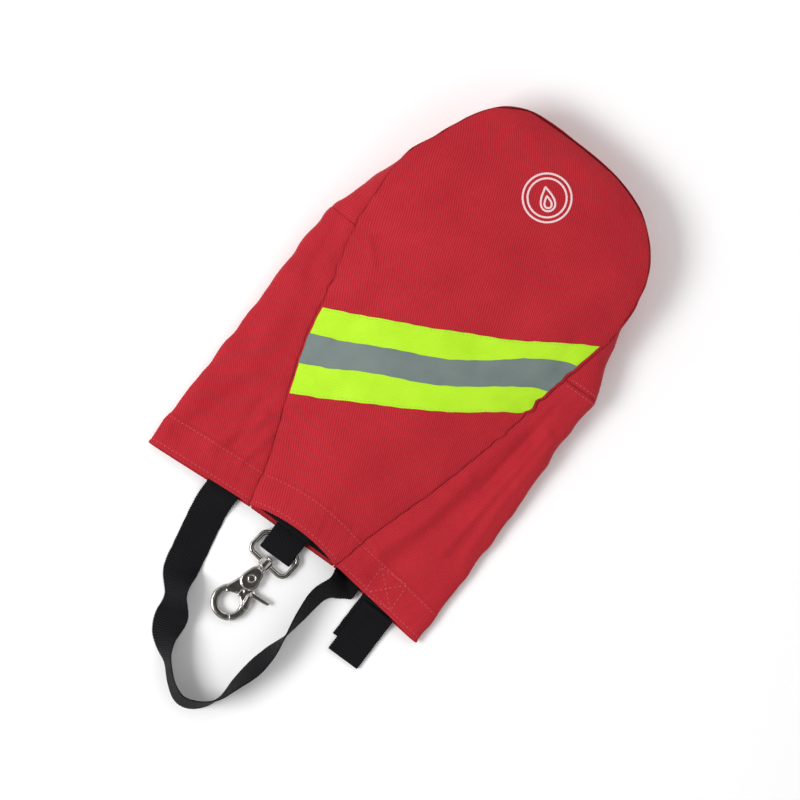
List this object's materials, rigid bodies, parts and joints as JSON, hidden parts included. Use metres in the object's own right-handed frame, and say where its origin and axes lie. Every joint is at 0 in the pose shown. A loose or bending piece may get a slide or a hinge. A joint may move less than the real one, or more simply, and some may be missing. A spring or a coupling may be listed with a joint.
{
  "type": "breathing mask carrying bag",
  "caption": "Soft lined bag for a breathing mask, with a wide gusseted mouth, slanted reflective trim, carrying strap, keeper tab and swivel trigger snap.",
  "frame": {"origin": "middle of the back panel's resting face, 170 mm from the mouth's edge", "axes": "+X across the bag, +Y from the mouth towards the rounded closed end, +Z out of the front panel; the bag lies on its back"},
  "size_m": [0.2293, 0.4691, 0.0459],
  "materials": {
    "red_fabric": "ribbed woven polyester, matt with a slight sheen",
    "lining": "soft fleece",
    "webbing": "ribbed black polyester webbing",
    "closure_tape": "black hook and loop tape",
    "lime_trim": "fluorescent warp-knit trim",
    "silver_trim": "glass-bead retroreflective film",
    "print": "screen print on fabric",
    "nickel": "polished nickel plate over a casting",
    "spring_steel": "drawn spring wire"
  },
  "bodies": {
    "bag_back": {"back_panel": "red_fabric", "back_lining": "lining", "left_gusset": "red_fabric", "right_gusset": "red_fabric", "end_gusset": "red_fabric", "left_gusset_lining": "lining", "right_gusset_lining": "lining", "end_gusset_lining": "lining", "mouth_loop_tape": "closure_tape", "strap_left_end": "webbing", "strap_right_end": "webbing", "tab_sewn_end": "webbing", "snap_loop_sewn_end": "webbing"},
    "bag_front": {"front_panel": "red_fabric", "front_lining": "lining", "mouth_hook_tape": "closure_tape", "lime_trim": "lime_trim", "silver_trim": "silver_trim", "printed_badge": "print"},
    "strap": {"carry_strap": "webbing"},
    "tab_lower": {"keeper_tab_lower": "webbing"},
    "tab_upper": {"keeper_tab_upper": "webbing"},
    "loop": {"snap_loop": "webbing"},
    "eye": {"swivel_eye": "nickel"},
    "hook": {"hook_body": "nickel", "swivel_post": "nickel", "gate_rivet": "nickel", "gate_spring": "spring_steel"},
    "gate": {"gate_lever": "nickel"}
  },
  "joints": [
    {"name": "mouth_opening", "type": "hinge", "parent": "bag_back", "child": "bag_front", "pos_m": [0, 0.165, 0.033], "axis": [-1, 0, 0], "range_deg": [0, 8]},
    {"name": "strap_swing", "type": "hinge", "parent": "bag_back", "child": "strap", "pos_m": [0, -0.168, 0.005], "axis": [-1, 0, 0], "range_deg": [0, 30]},
    {"name": "tab_flex", "type": "hinge", "parent": "bag_back", "child": "tab_lower", "pos_m": [0.077, -0.168, 0.0067], "axis": [-1, 0, 0], "range_deg": [0, 35]},
    {"name": "tab_peel", "type": "hinge", "parent": "tab_lower", "child": "tab_upper", "pos_m": [0.0805, -0.168, 0.0067], "axis": [-1, 0, 0], "range_deg": [0, 42]},
    {"name": "loop_flex", "type": "hinge", "parent": "bag_back", "child": "loop", "pos_m": [0.0012, -0.162, 0.0052], "axis": [-1, 0, 0], "range_deg": [0, 30]},
    {"name": "eye_pivot", "type": "hinge", "parent": "loop", "child": "eye", "pos_m": [0.0015, -0.171, 0.0038], "axis": [-0.9925, 0.1219, 0], "range_deg": [0, 45]},
    {"name": "hook_swivel", "type": "hinge", "parent": "eye", "child": "hook", "pos_m": [0.0015, -0.171, 0.0038], "axis": [-0.1219, -0.9925, 0], "continuous": true},
    {"name": "gate_opening", "type": "hinge", "parent": "hook", "child": "gate", "pos_m": [-0.00231, -0.20207, 0.0038], "axis": [0, 0, 1], "range_deg": [0, 24]}
  ]
}
